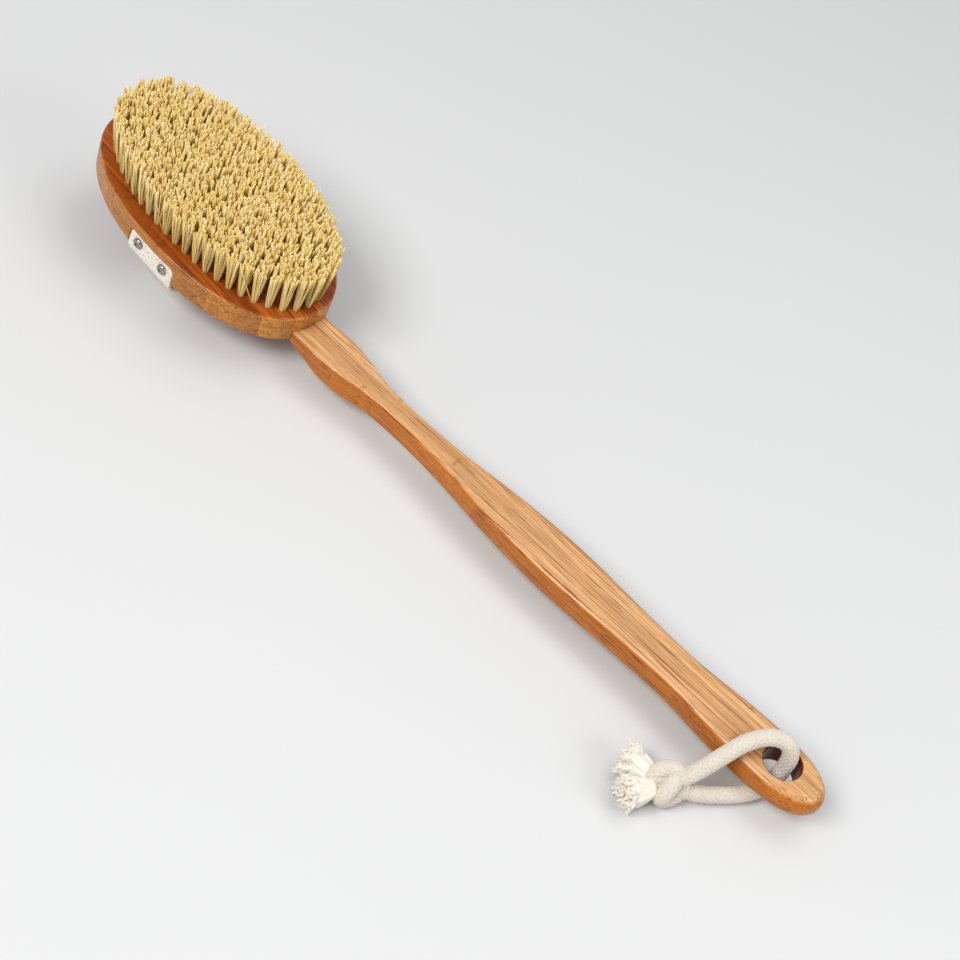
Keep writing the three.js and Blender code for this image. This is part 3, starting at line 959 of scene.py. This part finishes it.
def tuft_hole(place):
    """A blind hole with an eased rim, which its tuft fills."""
    profile = [(1.0, -HOLE_DEPTH), (HOLE_RADIUS, -HOLE_DEPTH + 0.6), (HOLE_RADIUS, -0.2),
               (HOLE_RADIUS + 0.2, 0.0), (HOLE_RADIUS + 0.2, 1.0)]
    points, faces = lathe(profile, SMALL_HOLE_SIDES)
    points[:, :2] += place - (HALF_LENGTH, 0)
    points[:, 2] += HEAD_THICKNESS
    return points, faces


def strap_window(from_y, to_y):
    """The strap's width and its rounded top corners, with a gap, as a block across a wall."""
    half, top, r = STRAP_WIDTH / 2 + GAP, STRAP_END_Z + GAP, STRAP_CORNER
    bend = np.linspace(0, np.pi / 2, EDGE_STEPS)
    right = np.column_stack([half - r + r * np.cos(bend), top - r + r * np.sin(bend)])
    left = np.column_stack([-right[::-1, 0], right[::-1, 1]])
    outline = np.vstack([[(-half, -2), (half, -2)], right, left])
    points, faces = prism(outline, -to_y, -from_y)
    turned = np.column_stack([points[:, 0] + STRAP_X, -points[:, 2], points[:, 1]])
    return turned, faces


def screw_places():
    """The screws' side walls, as -1 or 1, and their x."""
    return [(side, STRAP_X + end * SCREW_SPACING / 2) for side in (-1, 1) for end in (-1, 1)]


def add_head():
    outline = oval(HALF_LENGTH, HEAD_WIDTH / 2, OUTLINE_CORNERS)
    edge = np.full(OUTLINE_CORNERS, HEAD_FILLET)
    rings = slab_rings(outline, outward(outline), edge, 0.0, HEAD_THICKNESS)
    block = np.vstack(rings) - (HALF_LENGTH, 0, 0)
    holes = joined([tuft_hole(p) for ring in range(RING_COUNT) for p in tuft_places(ring)])
    shanks = []
    for side, x in screw_places():
        points, faces = lathe([(1.5, -9.5), (1.5, 1.0)], SMALL_HOLE_SIDES)
        # the hole's axis z turns to point out of the side wall
        points = np.column_stack([points[:, 0] * side, points[:, 2] * side, -points[:, 1]])
        shanks.append((points + (x, side * (STRAP_SEAT_Y - GAP), SCREW_Z), faces))
    mesh = boolean((block, tube_faces(len(rings), OUTLINE_CORNERS)), [
        ("DIFFERENCE", holes),
        ("DIFFERENCE", dovetail(GAP, -TONGUE_LENGTH - GAP, 5, 3)),
        ("DIFFERENCE", strap_window(STRAP_SEAT_Y - GAP, 42)),
        ("DIFFERENCE", strap_window(-42, -STRAP_SEAT_Y + GAP)),
        ("DIFFERENCE", joined(shanks)),
    ])
    carved("head_block_oval", mesh, head_to_row, head_wood, "head", ["head_block"])


add_head()


# Bristles
def in_disc(count):
    """Random points of the unit disc."""
    spread = np.sqrt(rng.uniform(0, 1, count))
    turn = rng.uniform(0, 2 * np.pi, count)
    return np.stack([spread * np.cos(turn), spread * np.sin(turn)], axis=1)


def tuft_fibres(place, count):
    """Fibres of one tuft, as (count, steps, 3): tight in the hole, in a few locks at the trim."""
    s = np.linspace(0, 1, FIBRE_STEPS)[None, :, None]
    disc = in_disc(count)
    locks = in_disc(TUFT_LOCKS)
    mine = np.linalg.norm(disc[:, None] - locks[None], axis=2).argmin(axis=1)
    stray = (rng.uniform(0, 1, (count, 1)) < STRAY_SHARE) * rng.normal(0, 2.2, (count, 2))
    root = place + disc * TUFT_ROOT_RADIUS
    tip = place * FAN + (0.4 * disc + 0.6 * locks[mine]) * TUFT_TIP_RADIUS
    tip = tip + rng.normal(0, 0.22, (count, 2)) + stray
    height = TRIM + rng.normal(0, 0.3) + rng.normal(0, 0.42, TUFT_LOCKS)[mine]
    height = height + rng.normal(0, 0.24, count)
    bend = rng.normal(0, 0.2, (count, 1, 2)) * np.sin(np.pi * s) ** 2
    fan = np.clip((s - 0.2) / 0.8, 0, 1)
    flat = root[:, None] + (tip - root)[:, None] * fan + bend
    low = HEAD_THICKNESS - HOLE_DEPTH + 0.5
    z = low + s * (height[:, None, None] + HEAD_THICKNESS - low)
    return np.concatenate([flat - (HALF_LENGTH, 0), z], axis=2)


def add_bristles(ring):
    """A ring's fibres: thin four-sided tubes, each with its own radius, twist and cut end."""
    node = f"bristle_ring_{ring + 1}"
    turn = np.linspace(0, 2 * np.pi, FIBRE_SIDES, endpoint=False)
    lines = np.concatenate([tuft_fibres(p, TUFT_FIBRES) for p in tuft_places(ring)])
    count, steps = lines.shape[:2]
    taper = np.array([0.6, 0.78, 0.94, 1.0, 1.0, 0.84])
    radius = rng.uniform(0.23, 0.34, (count, 1)) * taper
    twist = rng.uniform(0, np.pi, (count, 1, 1)) + turn
    section = np.stack([np.cos(twist), np.sin(twist) * 0.8], axis=-1)
    points = np.repeat(lines[:, :, None], FIBRE_SIDES, axis=2)
    points[..., :2] += section * radius[..., None, None]
    points[:, -1, :, 2] += rng.normal(0, 0.08, (count, FIBRE_SIDES))
    pattern = tube_faces(steps, FIBRE_SIDES)
    per = steps * FIBRE_SIDES
    faces = [tuple(k + per * i for k in face) for i in range(count) for face in pattern]
    mesh = raw_mesh(f"fibres_{node}", head_to_row(points.reshape(-1, 3)), faces)
    piece(f"fibres_{node}", mesh, fibre, "head", [node])


for ring in range(RING_COUNT):
    add_bristles(ring)


# Hand strap and its screws
def strap_line(count):
    """The strap's inner face as (y, z) across the head, with its outward normals."""
    slack = -(HANDLE_LIFT + HEAD_BACK + STRAP_EDGE_RISE - STRAP_THICKNESS)
    half = [(STRAP_SEAT_Y, STRAP_END_Z), (STRAP_SEAT_Y, 5), (STRAP_SEAT_Y, -0.8),
            (34.6, -3.4), (27.5, 0.47 * slack), (17.5, 0.84 * slack), (8.5, slack)]
    run = [(-y, z) for y, z in half] + half[::-1]
    line = even(centripetal(run, 900), count)
    return line, right_of(unit(np.gradient(line, axis=0)))


def add_strap():
    """Thick webbing with rounded edges, pressed in round its screws."""
    count, wide = 260, 49
    line, normal = strap_line(count)
    run = np.linspace(0, length_of(line), count)
    from_end = np.minimum(run, run[::-1])
    corner = np.clip(STRAP_CORNER - from_end, 0, STRAP_CORNER)
    half = STRAP_WIDTH / 2 - (STRAP_CORNER - np.sqrt(STRAP_CORNER**2 - corner**2))
    half = half - 0.1 - 0.06 * np.sin(run * 5.3) - 0.05 * np.sin(run * 8.9 + 1.0)
    share = np.sin(np.linspace(-1, 1, wide) * np.pi / 2)
    x = STRAP_X + half[:, None] * share[None, :]
    edge = np.minimum(from_end[:, None], (half[:, None] * (1 - np.abs(share[None, :]))))
    round_off = 0.62 * np.sqrt(np.clip(1 - (1 - np.clip(edge / 0.8, 0, 1)) ** 2, 0, 1)) + 0.38
    press = np.zeros_like(x)
    for side, sx in screw_places():
        on_side = np.sign(line[:, :1]) == side
        gap = np.hypot(x - sx, line[:, 1:] - SCREW_Z)
        press += np.where(on_side, 0.35 * np.exp(-((gap / 2.9) ** 4)), 0)
    puff = 0.07 * np.sin(x * 1.9 + run[:, None] * 0.31) * np.sin(run[:, None] * 1.3)
    thick = STRAP_THICKNESS / 2 * round_off
    middle = line[:, None] + normal[:, None] * (STRAP_THICKNESS / 2)
    outer = middle + normal[:, None] * (thick - press + puff * round_off)[..., None]
    inner = middle - normal[:, None] * thick[..., None]
    sheets = [np.concatenate([x[..., None], sheet], axis=2) for sheet in (inner, outer)]
    points = np.concatenate(sheets).reshape(-1, 3)

    def at(j, i, layer):
        return layer * count * wide + j * wide + i

    faces = []
    for j in range(count - 1):
        for i in range(wide - 1):
            faces.append((at(j, i, 0), at(j, i + 1, 0), at(j + 1, i + 1, 0), at(j + 1, i, 0)))
            faces.append((at(j, i, 1), at(j + 1, i, 1), at(j + 1, i + 1, 1), at(j, i + 1, 1)))
    rim = [(0, i) for i in range(wide)]
    rim += [(j, wide - 1) for j in range(1, count)]
    rim += [(count - 1, i) for i in range(wide - 2, -1, -1)]
    rim += [(j, 0) for j in range(count - 2, 0, -1)]
    for (j, i), (k, m) in zip(rim, rim[1:] + rim[:1]):
        faces.append((at(k, m, 0), at(j, i, 0), at(j, i, 1), at(k, m, 1)))
    mesh = raw_mesh("cotton_strap", head_to_row(points), faces)
    strap = piece("cotton_strap", mesh, strap_cotton, "head", ["hand_strap"])
    print("strap length", run[-1])


add_strap()


def add_screw(side, x, index):
    """A domed screw with a cross recess; its thread is inside the block."""
    shank = [(0.05, -9.0), (0.5, -8.4)]
    for step in range(11):
        z = -7.9 + step * 0.7
        shank += [(1.15, z), (0.85, z + 0.35)]
    head = [(1.2, 0.0), (2.42, 0.0), (2.5, 0.12), (2.5, 0.45), (2.4, 0.75), (2.15, 1.08),
            (1.75, 1.36), (1.2, 1.54), (0.6, 1.62), (0.05, 1.64)]
    blank = lathe(shank + head, SCREW_SIDES)
    arms = []
    for turn in (0.35, 0.35 + math.pi / 2):
        c, s = math.cos(turn), math.sin(turn)
        box = [(dx * long, dy * wide, z)
               for z, long, wide in ((0.75, 0.55, 0.5), (2.2, 1.35, 1.0))
               for dx, dy in ((-1, -0.26), (1, -0.26), (1, 0.26), (-1, 0.26))]
        corners = np.array([(a * c - b * s, a * s + b * c, z) for a, b, z in box])
        arms.append((corners, tube_faces(2, 4)))
    mesh = boolean(blank, [("DIFFERENCE", arm) for arm in arms])

    def place(points):
        turned = np.column_stack([points[:, 0], points[:, 2] * side, -points[:, 1] * side])
        seat = (x, side * (STRAP_SEAT_Y + STRAP_THICKNESS + 0.05), SCREW_Z)
        return head_to_row(turned + seat)

    name = f"nickel_screw_{index}"
    carved(name, mesh, place, nickel, "head", [f"strap_screw_{index}"])


for number, (side, x) in enumerate(screw_places(), 1):
    add_screw(side, x, number)


# Floor and light
def add_floor():
    n = Nodes("floor")
    tone = n.noise(n.node("TexCoord", "Object"), 3.0, 2.0)
    colour = n.mix(tone, (0.60, 0.60, 0.60), (0.63, 0.63, 0.625))
    material = n.finish(Base_Color=colour, Roughness=0.6)
    turn = np.linspace(0, 2 * np.pi, FLOOR_CORNERS, endpoint=False)
    rim = FLOOR_RADIUS * np.column_stack([np.cos(turn), np.sin(turn), np.zeros(FLOOR_CORNERS)])
    mesh = raw_mesh("floor", rim, [tuple(range(FLOOR_CORNERS))])
    mesh.materials.append(material)
    floor = bpy.data.objects.new("floor", mesh)
    scene.collection.objects.link(floor)


def add_light(name, place, target, size, power):
    data = bpy.data.lights.new(name, "AREA")
    data.shape = "RECTANGLE"
    data.size, data.size_y = size
    data.energy = power
    light = bpy.data.objects.new(name, data)
    scene.collection.objects.link(light)
    light.location = place
    light.rotation_euler = (Vector(target) - Vector(place)).to_track_quat("-Z", "Y").to_euler()


def add_world():
    world = bpy.data.worlds.new("studio")
    world.use_nodes = True
    background = world.node_tree.nodes["Background"]
    background.inputs[0].default_value = (0.93, 0.94, 0.96, 1)
    background.inputs[1].default_value = 0.45
    scene.world = world


add_floor()
add_world()
add_light("key", (-0.2, -1.15, 1.35), (0, 0, 0.02), (1.0, 0.7), 25)
add_light("top", (0.2, 0.6, 1.6), (0, 0, 0.02), (1.4, 0.8), 9)
add_light("rim", (0.95, 0.1, 0.6), (0.1, 0, 0.02), (0.5, 0.5), 3)
scene.view_settings.view_transform = "Standard"
